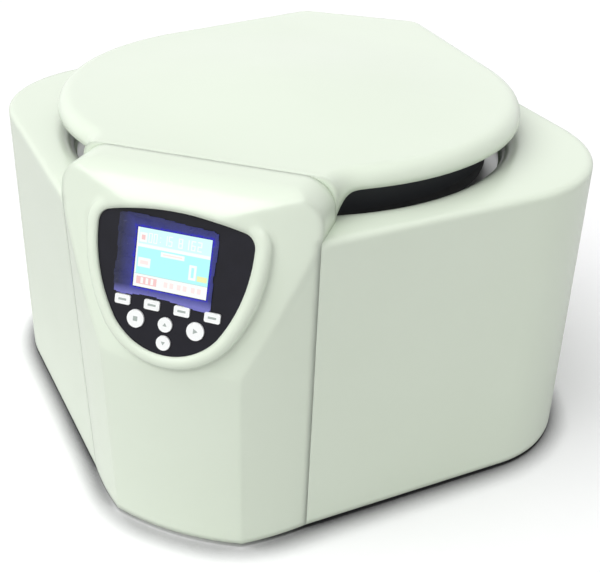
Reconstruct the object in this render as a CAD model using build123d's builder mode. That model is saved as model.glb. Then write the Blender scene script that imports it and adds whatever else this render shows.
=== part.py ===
from build123d import *
import os
from math import acos, atan2, cos, degrees, hypot, radians, sin, sqrt, tan

# Bench centrifuge for oil tests: a moulded housing with a front fascia and a big round lid over a
# steel bowl, where a four-place swing-out rotor turns. Millimetres, +Z up, the rotor turns about Z,
# the fascia faces -Y. The origin is on the bench under the middle of the whole machine.

# Housing, measured over its outer skin
body_height = 315.0
skirt_gap = 5.0
wall = 4.0
seam_y = -262.5
seam_half = 115.5
corner_x = 357.7
corner_y = -23.8
corner_radius = 133.0
corner_flare = 20.0
back_y = 318.5
back_half = 80.0
back_flare = 14.0
back_radius = 24.0
top_edge_radius = 5.0

# Opening in the top and its rolled lip
opening_radius = 225.75
lip_radius = 17.85
lip_skirt_bottom = 289.5

# Front fascia
fascia_front_y = -315.0
fascia_crease_x = 66.2
fascia_crease_y = -306.2
fascia_top = 352.0
fascia_back_y = -222.6
fascia_kink_z = 199.5
fascia_lean = 12.5
fascia_roll_radius = 45.0
fascia_shoulder_radius = 28.0
fascia_wall = 3.5
fascia_tip = 40.0
facet_bow = 1.3

# Control panel, tilted back from vertical about its own origin near its bottom edge
panel_tilt = 20.0
panel_z = 225.75
panel_bottom = -10.0
panel_top = 110.0
panel_corner_x = 68.0
panel_corner_t = 100.0
panel_side_x = 62.5
panel_side_t = 48.0
panel_heel_x = 46.0
panel_heel_t = 13.0
panel_corner_radius = 12.0
panel_heel_radius = 22.0
panel_thickness = 3.0
panel_sunk = 0.6
panel_gap = 0.3
panel_ledge = 2.5
ring_width = 12.0
ring_proud = 1.2
ring_depth = 17.0
ring_edge_radius = 6.0
screen_width = 65.0
screen_height = 49.0
screen_centre = 67.8
screen_bezel = 8.0
screen_depth = 6.0
film_width = 84.0
film_height = 65.0
film_thickness = 0.4
key_gap = 0.3
key_proud = 1.4
key_travel = 1.0
key_flange = 1.2
key_flange_thickness = 1.2
key_board_gap = 1.6
key_board_thickness = 1.6
soft_key_width = 13.7
soft_key_height = 8.2
soft_key_radius = 1.5
soft_key_pitch = 26.7
soft_key_row = 30.3
large_key_radius = 7.6
large_key_x = 26.8
large_key_row = 16.2
small_key_radius = 6.2
small_key_high_row = 16.2
small_key_low_row = 0.6

# Lid
lid_radius = 237.0
lid_low = 336.0
lid_top = 362.0
lid_wall = 4.0
lid_edge_radius = 14.0
lid_crown_radius = 210.0
lid_tail_gap = 0.8
lid_tail_low = 319.5
lid_tail_run = 26.0
lid_flare_radius = 25.0
lid_back_y = 306.0
lid_back_half = 80.0
lid_back_radius = 26.0

# Hinge at the back of the lid
hinge_y = 296.0
hinge_z = 328.5
hinge_pin_radius = 4.0
hinge_press_gap = 0.02
hinge_bore_gap = 0.05
hinge_eye_radius = 7.5
hinge_ear_radius = 7.0
hinge_x = 52.0
hinge_ear = 8.0
hinge_ear_gap = 0.5
hinge_arm_width = 18.0
hinge_arm_reach = 34.0
hinge_plate = 4.0
hinge_plate_length = 42.0

# Bowl and what closes it
bowl_radius = 200.0
bowl_wall = 1.5
bowl_floor_z = 124.0
bowl_flange_z = 288.0
bowl_flange_radius = 223.0
bowl_corner_radius = 25.0
hub_hole_radius = 34.0
heater_thickness = 1.6
heater_low = 170.0
heater_high = 260.0
guard_radius = 206.0
guard_thickness = 4.0
liner_radius = 211.5
liner_bottom = 304.0
liner_wall = 2.5
liner_plate_z = 336.0
liner_plate = 2.0
seal_outer = 209.5
seal_width = 8.0
seal_gap = 0.3
shaft_seal_radius = 38.0
shaft_seal_thickness = 4.0
shaft_seal_gap = 1.5

# Base, feet and drive
foot_radius = 18.0
foot_height = 12.0
foot_x = 130.0
foot_y = 190.0
pan_thickness = 3.0
pan_gap = 0.3
motor_radius = 78.0
motor_low = 24.0
motor_cap = 10.0
motor_neck_radius = 24.0
motor_neck_high = 114.0
motor_plate_z = 104.0
motor_plate_half = 105.0
motor_plate_thickness = 6.0
fit_gap = 0.3
damper_radius = 15.0
damper_waist = 11.0
damper_height = 14.0
damper_place = 85.0
post_radius = 9.0
shaft_radius = 12.0
shaft_bore_gap = 0.05
shaft_low = 62.0

# Rotor and its swing-out cups
rotor_z = 257.0
rotor_thickness = 22.0
rotor_radius = 95.0
rotor_hub_radius = 26.0
rotor_hub_drop = 20.0
shaft_nose_radius = 10.0
shaft_thread_radius = 8.0
shaft_high = 292.0
trunnion_radius = 70.0
cup_outer_radius = 25.0
cup_wall = 2.0
cup_above = 12.0
cup_below = 112.0
cup_foot_radius = 6.0
cup_rim = 1.2
cup_rim_height = 4.0
boss_reach = 30.0
boss_radius = 7.2
slot_gap = 1.2
slot_end = trunnion_radius - hypot(cup_outer_radius + cup_rim, cup_above) - slot_gap
pin_radius = 4.0
pin_gap = 0.05
pin_tip_gap = 0.4
pin_seat = 13.0
first_cup_angle = 45.0
cup_count = 4
cushion_thickness = 5.0
cushion_radius = 18.0
nut_radius = 20.0
nut_height = 20.0
nut_flutes = 8
nut_flute_radius = 5.0

# Lock under the front of the lid
striker_half = 20.0
striker_thickness = 3.0
striker_low = 273.0
striker_forward = 4.0
striker_back_gap = 0.9
striker_side_gap = 1.5
lock_half = 34.0
lock_back = -211.9
lock_low = 250.0
lock_high = 287.7
bolt_half = 8.0
bolt_height = 6.0
bolt_z = 281.0
bolt_length = 24.0
slide_gap = 0.3
window_gap = 0.7
actuator_half = 12.0
actuator_height = 24.0
bracket_thickness = 4.0

# Back plate and mains parts
plate = 1.5
plate_half = 62.0
plate_low = 30.0
plate_high = 262.0
plate_lap = 8.0
inlet_z = 70.0
inlet_x = -28.0
inlet_flange_width = 50.0
inlet_flange_height = 27.0
inlet_flange = 2.0
inlet_body_width = 29.0
inlet_body_height = 22.0
inlet_width = 25.0
inlet_height = 18.0
inlet_depth = 16.0
inlet_body_depth = 22.0
pin_blade_width = 2.0
pin_blade_height = 4.0
pin_blade_length = 13.0
pin_blade_pitch = 14.0
switch_x = 30.0
switch_width = 22.0
switch_height = 30.0
switch_depth = 20.0
rocker_width = 15.0
rocker_radius = 9.0
rocker_face = 6.2
rocker_swing = 20.0
rocker_gap = 0.4
rocker_sunk = 9.5
louvre_count = 9
louvre_width = 84.0
louvre_height = 4.0
louvre_pitch = 12.0
louvre_low = 130.0
screw_radius = 2.0
screw_head_radius = 4.0
screw_head = 1.8
screw_head_edge = 0.6
pan_screw_places = [(150, -205), (250, -100), (250, 60), (120, 225)]

# Corner roundings of the small pieces
striker_corner = 4.0
shaft_chamfer = 1.5
slot_corner = 8.0
plate_corner = 4.0
inlet_corner = 3.0
switch_corner = 2.0
switch_rim = 3.0
can_corner = 2.0
filter_corner = 2.0
foot_taper = 6.0

# Heat sink and capacitors on the drive board, set in from its long edges
board_margin = 14.0
sink_width = 20.0
sink_length = 70.0
sink_height = 36.0
sink_foot = 6.0
sink_pitch = 8.0
sink_slots = 8
can_radius = 10.0
can_height = 32.0
can_pitch = 26.0

# Board behind the keys, in the panel's own plane
key_board_mid = 14.0
key_board_height = 34.0
screw_gap = 0.1

# Electrics on the base
board_x = 222.0
board_width = 56.0
board_length = 130.0
board_z = 25.0
board_thickness = 1.6
board_y = -8.0
standoff_radius = 3.0
standoff_inset = 5.0
filter_height = 62.0

os.makedirs("parts", exist_ok=True)

both_sides = (-1, 1)


def save(part, name):
    # One file for each piece, under the piece's own name
    part.label = name
    export_step(part, f"parts/{name}.step")


def mirrored_outline(right):
    # Closed outline from the points of its right half, front to back
    return [*right, *[(-x, y) for x, y in reversed(right)]]


def hollow_ring(inner, outer, low, high):
    # Plain ring about the rotor's axis
    with BuildPart() as ring:
        with BuildSketch(Plane.XY.offset(low)):
            Circle(outer)
            Circle(inner, mode=Mode.SUBTRACT)
        extrude(amount=high - low)
    return ring.part


# Housing: a tall shell with a flared foot, straight walls from the fascia to two big round corners,
# walls that close in again to a narrow back, a flat top and a rolled lip round the opening
def housing_outline(flare_share):
    right = [
        (seam_half, seam_y),
        (corner_x + corner_flare * flare_share, corner_y),
        (back_half + back_flare * flare_share, back_y),
    ]
    with BuildSketch() as outline:
        with BuildLine():
            Polyline(*mirrored_outline(right), close=True)
        make_face()
        fillet(outline.vertices().group_by(Axis.Y)[1], corner_radius)
        fillet(outline.vertices().group_by(Axis.Y)[-1], back_radius)
    return outline.sketch


foot_plan = housing_outline(1)
top_plan = housing_outline(0)

with BuildPart() as housing_cavity:
    with BuildSketch(Plane.XY.offset(skirt_gap)):
        add(foot_plan)
        offset(amount=-wall, kind=Kind.INTERSECTION, mode=Mode.REPLACE)
    with BuildSketch(Plane.XY.offset(body_height - wall)):
        add(top_plan)
        offset(amount=-wall, kind=Kind.INTERSECTION, mode=Mode.REPLACE)
    loft()

lip_flat = opening_radius + lip_radius
lip_start = body_height - lip_radius
with BuildPart() as body_shell:
    with BuildSketch(Plane.XY.offset(skirt_gap)):
        add(foot_plan)
    with BuildSketch(Plane.XY.offset(body_height)):
        add(top_plan)
    loft()
    fillet(body_shell.faces().sort_by(Axis.Z)[-1].edges(), top_edge_radius)
    add(housing_cavity.part, mode=Mode.SUBTRACT)
    with BuildSketch(Plane.XY.offset(body_height)):
        Circle(lip_flat)
    extrude(amount=-2 * wall, mode=Mode.SUBTRACT)
    with BuildSketch(Plane.XZ):
        with BuildLine():
            outer_arc = RadiusArc((opening_radius, lip_start), (lip_flat, body_height), lip_radius)
            Line(outer_arc @ 1, (lip_flat, body_height - wall))
            inner_arc = RadiusArc(
                (lip_flat, body_height - wall),
                (opening_radius + wall, lip_start),
                wall - lip_radius,
            )
            Polyline(
                inner_arc @ 1,
                (opening_radius + wall, lip_skirt_bottom),
                (opening_radius, lip_skirt_bottom),
                outer_arc @ 0,
            )
        make_face()
    revolve(axis=Axis.Z)
    # Window behind the back plate
    with BuildSketch(Plane.XZ.offset(-back_y)):
        with Locations((0, (plate_low + plate_high) / 2)):
            Rectangle(2 * (plate_half - plate_lap), plate_high - plate_low - 2 * plate_lap)
    extrude(amount=2 * wall, both=True, mode=Mode.SUBTRACT)
save(body_shell.part, "body_shell")


# Fascia: a crowned front between two creases, side facets back to the seams, a top that rolls over
# to meet the lid and rounded shoulders. The same form, drawn in by the wall, hollows it.
def fascia_form(inset):
    half = seam_half - inset
    front = fascia_front_y + inset
    back = fascia_back_y - inset
    top = fascia_top - inset
    crease_x = fascia_crease_x - inset / 2
    crease_y = fascia_crease_y + inset
    slope = (seam_y - crease_y) / (half - crease_x)
    tip = (crease_x - fascia_tip, crease_y - slope * fascia_tip)
    mid_facet = (
        (half + crease_x) / 2 + facet_bow,
        (seam_y + crease_y) / 2 - facet_bow,
    )
    crown_x = 2 * crease_x
    crown_y = front + 4 * (crease_y - front)
    lean = radians(fascia_lean)
    with BuildPart() as front_cheek:
        for base, height, angle in (
            (skirt_gap, fascia_kink_z - skirt_gap, 0),
            (fascia_kink_z, fascia_top - fascia_kink_z, lean),
        ):
            with BuildSketch(Plane.XY.offset(base)):
                with BuildLine():
                    ThreePointArc((-crown_x, crown_y), (0, front), (crown_x, crown_y))
                    Polyline(
                        (crown_x, crown_y), (crown_x, -crown_y), (-crown_x, -crown_y),
                        (-crown_x, crown_y),
                    )
                make_face()
            extrude(amount=height / cos(angle), dir=(0, sin(angle), cos(angle)))
    with BuildPart() as form:
        with BuildSketch(Plane.XY.offset(skirt_gap)):
            with BuildLine():
                ThreePointArc((half, seam_y), mid_facet, (crease_x, crease_y))
                Polyline(
                    (crease_x, crease_y), tip, (-tip[0], tip[1]), (-crease_x, crease_y)
                )
                ThreePointArc(
                    (-crease_x, crease_y), (-mid_facet[0], mid_facet[1]), (-half, seam_y)
                )
                Polyline((-half, seam_y), (-half, back), (half, back), (half, seam_y))
            make_face()
        extrude(amount=fascia_top)
        add(front_cheek.part, mode=Mode.INTERSECT)
        # Side view: the leaning face rolls over into the flat top
        roof_y = front + (top - fascia_kink_z) * tan(lean)
        with BuildSketch(Plane.YZ):
            with BuildLine():
                Polyline(
                    (back, 0), (back, top), (roof_y, top), (front, fascia_kink_z), (front, 0),
                    close=True,
                )
            make_face()
            fillet(vertices().group_by(Axis.X)[1], fascia_roll_radius - inset)
        extrude(amount=seam_half, both=True, mode=Mode.INTERSECT)
        # Front view: rounded shoulders
        with BuildSketch(Plane.XZ.offset(-back)):
            with BuildLine():
                Polyline((-half, 0), (-half, top), (half, top), (half, 0), close=True)
            make_face()
            fillet(vertices().group_by(Axis.Y)[-1], fascia_shoulder_radius - inset)
        extrude(amount=-back, mode=Mode.INTERSECT)
    return form.part


tilt = radians(panel_tilt)
panel_plane = Plane(
    origin=(0, fascia_front_y, panel_z), x_dir=(1, 0, 0), z_dir=(0, -cos(tilt), sin(tilt))
)


def circle_centre(a, b, c):
    # Centre of the circle through three points
    d = 2 * (a[0] * (b[1] - c[1]) + b[0] * (c[1] - a[1]) + c[0] * (a[1] - b[1]))
    squares = [x * x + y * y for x, y in (a, b, c)]
    x = squares[0] * (b[1] - c[1]) + squares[1] * (c[1] - a[1]) + squares[2] * (a[1] - b[1])
    y = squares[0] * (c[0] - b[0]) + squares[1] * (a[0] - c[0]) + squares[2] * (b[0] - a[0])
    return x / d, y / d


def moved_out(point, centres, grow):
    # A point pushed outwards from the circles that meet there, as a mitre does
    normals = [
        Vector(point[0] - x, point[1] - y).normalized() for x, y in centres
    ]
    mitre = (normals[0] + normals[-1]) / (1 + normals[0].dot(normals[-1]))
    return point[0] + grow * mitre.X, point[1] + grow * mitre.Y


def shield(grow):
    # Panel outline: round below, straight-sided above, with a gently arched top. Growing it keeps
    # every arc concentric.
    heel = (panel_heel_x, panel_heel_t)
    side = (panel_side_x, panel_side_t)
    corner = (panel_corner_x, panel_corner_t)
    low = circle_centre((-heel[0], heel[1]), (0, panel_bottom), heel)
    flank = circle_centre(heel, side, corner)
    crown = circle_centre(corner, (0, panel_top), (-corner[0], corner[1]))
    heel = moved_out(heel, (low, flank), grow)
    side = moved_out(side, (flank,), grow)
    corner = moved_out(corner, (flank, crown), grow)
    with BuildSketch() as outline:
        with BuildLine():
            ThreePointArc((-heel[0], heel[1]), (0, panel_bottom - grow), heel)
            ThreePointArc(heel, side, corner)
            ThreePointArc(corner, (0, panel_top + grow), (-corner[0], corner[1]))
            ThreePointArc((-corner[0], corner[1]), (-side[0], side[1]), (-heel[0], heel[1]))
        make_face()
        fillet(vertices().group_by(Axis.Y)[0], panel_heel_radius + grow)
        fillet(vertices().group_by(Axis.Y)[-1], panel_corner_radius + grow)
    return outline.sketch


pocket_floor = -(panel_sunk + panel_thickness)
with BuildPart() as panel_ring:
    with BuildSketch(panel_plane.offset(ring_proud)):
        add(shield(ring_width))
    extrude(amount=-ring_depth)
    fillet(faces().sort_by(Axis((0, 0, 0), panel_plane.z_dir))[-1].edges(), ring_edge_radius)

with BuildPart() as nose_fascia:
    add(fascia_form(0))
    add(fascia_form(fascia_wall), mode=Mode.SUBTRACT)
    with BuildSketch(Plane.YZ):
        with BuildLine():
            Polyline(
                (seam_y, 0), (seam_y, body_height), (0, body_height), (0, 0), close=True
            )
        make_face()
    extrude(amount=2 * seam_half, both=True, mode=Mode.SUBTRACT)
    add(panel_ring.part)
    with BuildSketch(panel_plane.offset(pocket_floor)):
        add(shield(panel_gap))
    extrude(amount=ring_depth * 2, mode=Mode.SUBTRACT)
    with BuildSketch(panel_plane.offset(ring_proud)):
        add(shield(-panel_ledge))
    extrude(amount=-ring_depth * 2, mode=Mode.SUBTRACT)
save(nose_fascia.part, "nose_fascia")

# Control panel: a dark moulded plate with a screen window and a hole for every key
soft_keys = [
    (f"soft_key_{i + 1}", (i - 1.5) * soft_key_pitch, soft_key_row) for i in range(4)
]
round_keys = [
    ("large_key_left", -large_key_x, large_key_row, large_key_radius),
    ("large_key_right", large_key_x, large_key_row, large_key_radius),
    ("small_key_upper", 0, small_key_high_row, small_key_radius),
    ("small_key_lower", 0, small_key_low_row, small_key_radius),
]


def soft_key_face(grow):
    RectangleRounded(
        soft_key_width + 2 * grow, soft_key_height + 2 * grow, soft_key_radius + grow
    )


panel_face = panel_plane.offset(-panel_sunk)
panel_back = panel_plane.offset(pocket_floor)
with BuildPart() as control_panel:
    with BuildSketch(panel_back):
        add(shield(0))
        with Locations((0, screen_centre)):
            Rectangle(screen_width, screen_height, mode=Mode.SUBTRACT)
        for name, x, row in soft_keys:
            with Locations((x, row)):
                RectangleRounded(
                    soft_key_width + 2 * key_gap, soft_key_height + 2 * key_gap,
                    soft_key_radius + key_gap, mode=Mode.SUBTRACT,
                )
        for name, x, row, radius in round_keys:
            with Locations((x, row)):
                Circle(radius + key_gap, mode=Mode.SUBTRACT)
    extrude(amount=panel_thickness)
save(control_panel.part, "control_panel")

for name, x, row in soft_keys:
    with BuildPart() as key:
        with BuildSketch(panel_face.offset(key_proud)):
            with Locations((x, row)):
                soft_key_face(0)
        extrude(amount=-(key_proud + panel_thickness + key_gap))
        with BuildSketch(panel_back.offset(-key_gap)):
            with Locations((x, row)):
                soft_key_face(key_flange)
        extrude(amount=-key_flange_thickness)
    save(key.part, name)
for name, x, row, radius in round_keys:
    with BuildPart() as key:
        with BuildSketch(panel_face.offset(key_proud)):
            with Locations((x, row)):
                Circle(radius)
        extrude(amount=-(key_proud + panel_thickness + key_gap))
        with BuildSketch(panel_back.offset(-key_gap)):
            with Locations((x, row)):
                Circle(radius + key_flange)
        extrude(amount=-key_flange_thickness)
    save(key.part, name)

# Screen: lit glass in the window, a module behind it and a thin film over it
with BuildPart() as screen_glass:
    with BuildSketch(panel_back):
        with Locations((0, screen_centre)):
            Rectangle(screen_width, screen_height)
    extrude(amount=panel_thickness)
save(screen_glass.part, "screen_glass")
with BuildPart() as screen_module:
    with BuildSketch(panel_back):
        with Locations((0, screen_centre)):
            RectangleRounded(screen_width + 2 * screen_bezel, screen_height + screen_bezel, can_corner)
    extrude(amount=-screen_depth)
save(screen_module.part, "screen_module")
with BuildPart() as screen_film:
    with BuildSketch(panel_face):
        with Locations((0, screen_centre + 1)):
            Rectangle(film_width, film_height)
    extrude(amount=film_thickness)
save(screen_film.part, "screen_film")

# Key board behind the keys, on short posts from the back of the panel
key_board_front = -(key_gap + key_flange_thickness + key_travel + key_board_gap)
post_places = [(-13.35, 22.3), (13.35, 22.3), (-14, 3), (14, 3)]
with BuildPart() as key_board:
    with BuildSketch(panel_back.offset(key_board_front)):
        add(shield(-(panel_ledge + 1)))
        with Locations((0, key_board_mid)):
            Rectangle(2 * panel_corner_x, key_board_height, mode=Mode.INTERSECT)
    extrude(amount=-key_board_thickness)
save(key_board.part, "key_board")
with BuildPart() as panel_posts:
    with BuildSketch(panel_back):
        with Locations(*post_places):
            Circle(1.8)
    extrude(amount=key_board_front)
save(panel_posts.part, "panel_posts")

# Lid: a shallow domed shell, round over the bowl, flared into a tail as wide as the fascia in
# front, and drawn in by straight tapers to the hinge at the back
lid_tail_y = fascia_back_y + lid_tail_gap


def lid_outline(inset):
    back_corner = (lid_back_half, lid_back_y)
    swing = atan2(lid_back_y, lid_back_half)
    reach = hypot(*back_corner)
    tangent = swing - acos(lid_radius / reach)
    touch = (lid_radius * cos(tangent), lid_radius * sin(tangent))
    with BuildSketch() as outline:
        Circle(lid_radius)
        with BuildLine():
            Polyline(*mirrored_outline([(seam_half, lid_tail_y), (seam_half, 0)]), close=True)
        make_face()
        with BuildLine():
            Polyline(*mirrored_outline([touch, back_corner]), close=True)
        make_face()
        # The seam with the fascia cuts the round off
        with Locations((0, lid_tail_y)):
            Rectangle(2 * lid_radius, lid_radius, align=(Align.CENTER, Align.MAX), mode=Mode.SUBTRACT)
        fillet(vertices().group_by(Axis.Y)[-1], lid_back_radius)
        flare_y = -sqrt(lid_radius**2 - seam_half**2)
        flares = vertices().filter_by(lambda v: abs(v.Y - flare_y) < 1)
        fillet(flares, lid_flare_radius)
        if inset:
            offset(amount=-inset, kind=Kind.INTERSECTION, mode=Mode.REPLACE)
    return outline.sketch


def lid_form(inset):
    low = lid_tail_low - inset
    top = fascia_top - inset
    with BuildPart() as form:
        with BuildSketch(Plane.XY.offset(low)):
            add(lid_outline(inset))
        extrude(amount=top - low)
        rim = faces().sort_by(Axis.Z)[-1].edges()
        fillet(rim.filter_by(lambda e: e.center().Y > lid_tail_y + inset + 1), lid_edge_radius - inset)
        # Low crown that leaves the flat rim without a crease
        with BuildSketch(Plane.XZ):
            with BuildLine():
                crown = Spline(
                    (lid_crown_radius, top), (0, lid_top - inset), tangents=[(-1, 0), (-1, 0)]
                )
                Polyline(
                    crown @ 1, (0, top - wall), (lid_crown_radius, top - wall), crown @ 0
                )
            make_face()
        revolve(axis=Axis.Z)
        # Lower edge: level all round, and sweeping down to the body at the tail
        if not inset:
            with BuildSketch(Plane.YZ):
                with BuildLine():
                    curve = Spline(
                        (lid_tail_y, lid_tail_low),
                        (lid_tail_y + lid_tail_run, lid_low),
                        tangents=[(1, 0.35), (1, 0)],
                    )
                    Polyline(
                        curve @ 1,
                        (lid_back_y + wall, lid_low),
                        (lid_back_y + wall, lid_tail_low - wall),
                        (lid_tail_y, lid_tail_low - wall),
                        curve @ 0,
                    )
                make_face()
            extrude(amount=lid_radius + wall, both=True, mode=Mode.SUBTRACT)
    return form.part


with BuildPart() as lid_shell:
    add(lid_form(0))
    add(lid_form(lid_wall), mode=Mode.SUBTRACT)
save(lid_shell.part, "lid_shell")


# Liner: a dark moulded tray that closes the lid from below, with a drum that reaches the bowl
liner_outer = lid_wall + pan_gap
with BuildPart() as lid_liner:
    with BuildSketch(Plane.XY.offset(liner_plate_z)):
        add(lid_outline(liner_outer))
        with BuildLine():
            Polyline(
                (-2 * striker_half, lid_tail_y), (-2 * striker_half, -liner_radius),
                (2 * striker_half, -liner_radius), (2 * striker_half, lid_tail_y), close=True,
            )
        make_face(mode=Mode.SUBTRACT)
        Circle(liner_radius - liner_wall, mode=Mode.SUBTRACT)
    extrude(amount=liner_plate)
    with BuildSketch(Plane.XZ):
        with BuildLine():
            Polyline(
                (0, liner_bottom),
                (liner_radius, liner_bottom),
                (liner_radius, liner_plate_z + liner_plate),
                (liner_radius - liner_wall, liner_plate_z + liner_plate),
                (liner_radius - liner_wall, liner_bottom + liner_wall),
                (0, liner_bottom + liner_wall),
                close=True,
            )
        make_face()
    revolve(axis=Axis.Z)
save(lid_liner.part, "lid_liner")

bowl_lip_z = bowl_flange_z + bowl_wall
seal = hollow_ring(seal_outer - seal_width, seal_outer, bowl_lip_z + seal_gap, liner_bottom)
save(seal, "lid_seal")

# Striker: a steel tongue inside the front of the tail, with a window for the lock bolt
striker_front = lid_tail_y + lid_wall
window_half = bolt_half + window_gap + slide_gap
window_height = bolt_height + 2 * window_gap
with BuildPart() as lid_striker:
    with BuildSketch(Plane.XZ.offset(-striker_front)):
        with BuildLine():
            Polyline(
                (-striker_half, striker_low), (-striker_half, liner_plate_z),
                (striker_half, liner_plate_z), (striker_half, striker_low), close=True,
            )
        make_face()
        fillet(vertices().group_by(Axis.Y)[0], striker_corner)
        with Locations((0, bolt_z)):
            Rectangle(2 * window_half, window_height, mode=Mode.SUBTRACT)
    extrude(amount=-striker_thickness)
save(lid_striker.part, "lid_striker")

# Hinge: two arms under the back of the lid turn on pins held between pairs of ears on the body
ear_shift = hinge_arm_width / 2 + hinge_ear_gap + hinge_ear / 2
arm_back = hinge_y + hinge_eye_radius / 2
with BuildPart() as hinge_arms:
    for side in both_sides:
        with BuildSketch(Plane.YZ.offset(side * hinge_x)):
            with BuildLine():
                Polyline(
                    (hinge_y - hinge_arm_reach, hinge_z),
                    (hinge_y - hinge_arm_reach, liner_plate_z),
                    (arm_back, liner_plate_z),
                    (arm_back, hinge_z),
                    close=True,
                )
            make_face()
            with Locations((hinge_y, hinge_z)):
                Circle(hinge_eye_radius)
                Circle(hinge_pin_radius + hinge_bore_gap, mode=Mode.SUBTRACT)
        extrude(amount=hinge_arm_width / 2, both=True)
save(hinge_arms.part, "hinge_arms")

with BuildPart() as hinge_blocks:
    for side in both_sides:
        with BuildSketch(Plane.XY.offset(body_height)):
            with Locations((side * hinge_x, hinge_y - hinge_plate_length / 2 + hinge_ear_radius)):
                RectangleRounded(
                    hinge_arm_width + 2 * (hinge_ear_gap + hinge_ear), hinge_plate_length, 3
                )
        extrude(amount=hinge_plate)
        for edge in both_sides:
            with BuildSketch(Plane.YZ.offset(side * hinge_x + edge * ear_shift)):
                with Locations((hinge_y, hinge_z)):
                    Circle(hinge_ear_radius)
                with Locations((hinge_y, body_height)):
                    Rectangle(
                        2 * hinge_ear_radius, hinge_z - body_height, align=(Align.CENTER, Align.MIN)
                    )
                with Locations((hinge_y, hinge_z)):
                    Circle(hinge_pin_radius + hinge_press_gap, mode=Mode.SUBTRACT)
            extrude(amount=hinge_ear / 2, both=True)
save(hinge_blocks.part, "hinge_blocks")

with BuildPart() as hinge_pins:
    for side in both_sides:
        with BuildSketch(Plane.YZ.offset(side * hinge_x)):
            with Locations((hinge_y, hinge_z)):
                Circle(hinge_pin_radius)
        extrude(amount=ear_shift + hinge_ear / 2, both=True)
save(hinge_pins.part, "hinge_pins")

# Bowl: spun stainless steel, open above, with a round hole for the drive and a notch in its flange
# for the striker
bowl_inside_floor = bowl_floor_z + bowl_wall
with BuildPart() as bowl:
    with BuildSketch(Plane.XZ):
        with BuildLine():
            inner = Polyline(
                (hub_hole_radius, bowl_inside_floor),
                (bowl_radius - bowl_corner_radius, bowl_inside_floor),
            )
            inner_bend = RadiusArc(
                inner @ 1,
                (bowl_radius, bowl_inside_floor + bowl_corner_radius),
                -bowl_corner_radius,
            )
            outer_bend = RadiusArc(
                (bowl_radius + bowl_wall, bowl_inside_floor + bowl_corner_radius),
                (bowl_radius - bowl_corner_radius, bowl_floor_z),
                bowl_corner_radius + bowl_wall,
            )
            Polyline(
                inner_bend @ 1,
                (bowl_radius, bowl_lip_z),
                (bowl_flange_radius, bowl_lip_z),
                (bowl_flange_radius, bowl_flange_z),
                (bowl_radius + bowl_wall, bowl_flange_z),
                outer_bend @ 0,
            )
            Polyline(outer_bend @ 1, (hub_hole_radius, bowl_floor_z), inner @ 0)
        make_face()
    revolve(axis=Axis.Z)
    with BuildSketch(Plane.XY.offset(bowl_flange_z)):
        with BuildLine():
            notch_back = striker_front + striker_thickness + striker_back_gap
            notch_half = striker_half + striker_side_gap
            Polyline(
                (-notch_half, notch_back), (notch_half, notch_back),
                (notch_half, -bowl_flange_radius - wall), (-notch_half, -bowl_flange_radius - wall),
                close=True,
            )
        make_face()
    extrude(amount=bowl_wall, mode=Mode.SUBTRACT)
save(bowl.part, "bowl")

heater_inner = bowl_radius + bowl_wall
save(
    hollow_ring(heater_inner, heater_inner + heater_thickness, heater_low, heater_high),
    "heater_band",
)

pan_top = foot_height + pan_thickness
save(
    hollow_ring(guard_radius, guard_radius + guard_thickness, pan_top, bowl_flange_z),
    "guard_ring",
)
save(
    hollow_ring(
        shaft_radius + shaft_seal_gap, shaft_seal_radius,
        bowl_inside_floor, bowl_inside_floor + shaft_seal_thickness,
    ),
    "shaft_seal",
)

# Base pan, feet, motor and its rubber mounts
pan_share = 1 - (pan_top - skirt_gap) / (body_height - skirt_gap)
foot_places = [(x * foot_x, y * foot_y) for x in both_sides for y in both_sides]
with BuildPart() as base_pan:
    with BuildSketch(Plane.XY.offset(foot_height)):
        add(housing_outline(pan_share))
        offset(amount=-(wall + pan_gap), kind=Kind.INTERSECTION, mode=Mode.REPLACE)
    extrude(amount=pan_thickness)
save(base_pan.part, "base_pan")

with BuildPart() as feet:
    for place in foot_places:
        with BuildSketch() as foot:
            with Locations(place):
                Circle(foot_radius)
        extrude(amount=foot_height, taper=-foot_taper)
save(feet.part, "feet")

mount_places = [(x * damper_place, y * damper_place) for x in both_sides for y in both_sides]
damper_low = motor_plate_z - damper_height
with BuildPart() as damper_posts:
    with BuildSketch(Plane.XY.offset(pan_top)):
        with Locations(*mount_places):
            Circle(post_radius)
    extrude(amount=damper_low - pan_top)
save(damper_posts.part, "damper_posts")
with BuildPart() as dampers:
    with BuildSketch(Plane.XZ):
        with BuildLine():
            waist = ThreePointArc(
                (damper_radius, damper_low),
                (damper_waist, damper_low + damper_height / 2),
                (damper_radius, motor_plate_z),
            )
            Polyline(waist @ 1, (0, motor_plate_z), (0, damper_low), waist @ 0)
        make_face()
    revolve(axis=Axis.Z)
damper_group = Compound(
    children=[Pos(x, y, 0) * dampers.part.solid() for x, y in mount_places]
)
save(damper_group, "dampers")

with BuildPart() as motor_plate:
    with BuildSketch(Plane.XY.offset(motor_plate_z)):
        RectangleRounded(2 * motor_plate_half, 2 * motor_plate_half, damper_radius)
        Circle(motor_neck_radius + fit_gap, mode=Mode.SUBTRACT)
    extrude(amount=motor_plate_thickness)
save(motor_plate.part, "motor_plate")

with BuildPart() as motor:
    with BuildSketch(Plane.XZ):
        with BuildLine():
            Polyline(
                (0, motor_low),
                (motor_radius - motor_cap, motor_low),
                (motor_radius, motor_low + motor_cap),
                (motor_radius, motor_plate_z),
                (motor_neck_radius, motor_plate_z),
                (motor_neck_radius, motor_neck_high),
                (shaft_radius + shaft_bore_gap, motor_neck_high),
                (shaft_radius + shaft_bore_gap, shaft_low - fit_gap),
                (0, shaft_low - fit_gap),
                close=True,
            )
        make_face()
    revolve(axis=Axis.Z)
save(motor.part, "motor")

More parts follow.
